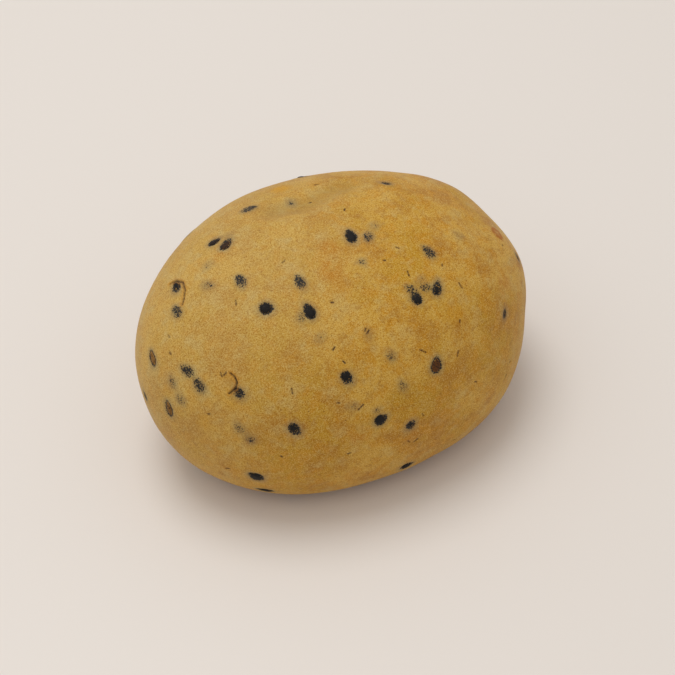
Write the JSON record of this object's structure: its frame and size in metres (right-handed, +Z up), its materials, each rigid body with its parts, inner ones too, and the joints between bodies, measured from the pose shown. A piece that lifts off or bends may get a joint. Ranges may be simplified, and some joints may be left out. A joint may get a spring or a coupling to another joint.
{
  "type": "bread roll",
  "caption": "Smooth, round-topped oval bread roll with a flat base, for serving, filling a basket or plate, or dressing a bakery or table scene.",
  "frame": {"origin": "on the table, under the middle of the roll's bounding box, in the plane of the flat base", "axes": "+Z up, +X along the roll's long axis, +Y along its short plan axis"},
  "size_m": [0.084, 0.0636, 0.048],
  "materials": {
    "baked_dough": "soft matt golden-tan crust with a faint satin sheen and a fine grain",
    "black_sesame": "matt black sesame hull with a faint grey bloom, for the seeds baked into the crust"
  },
  "bodies": {
    "root": {"bread_roll": "baked_dough"}
  },
  "joints": []
}
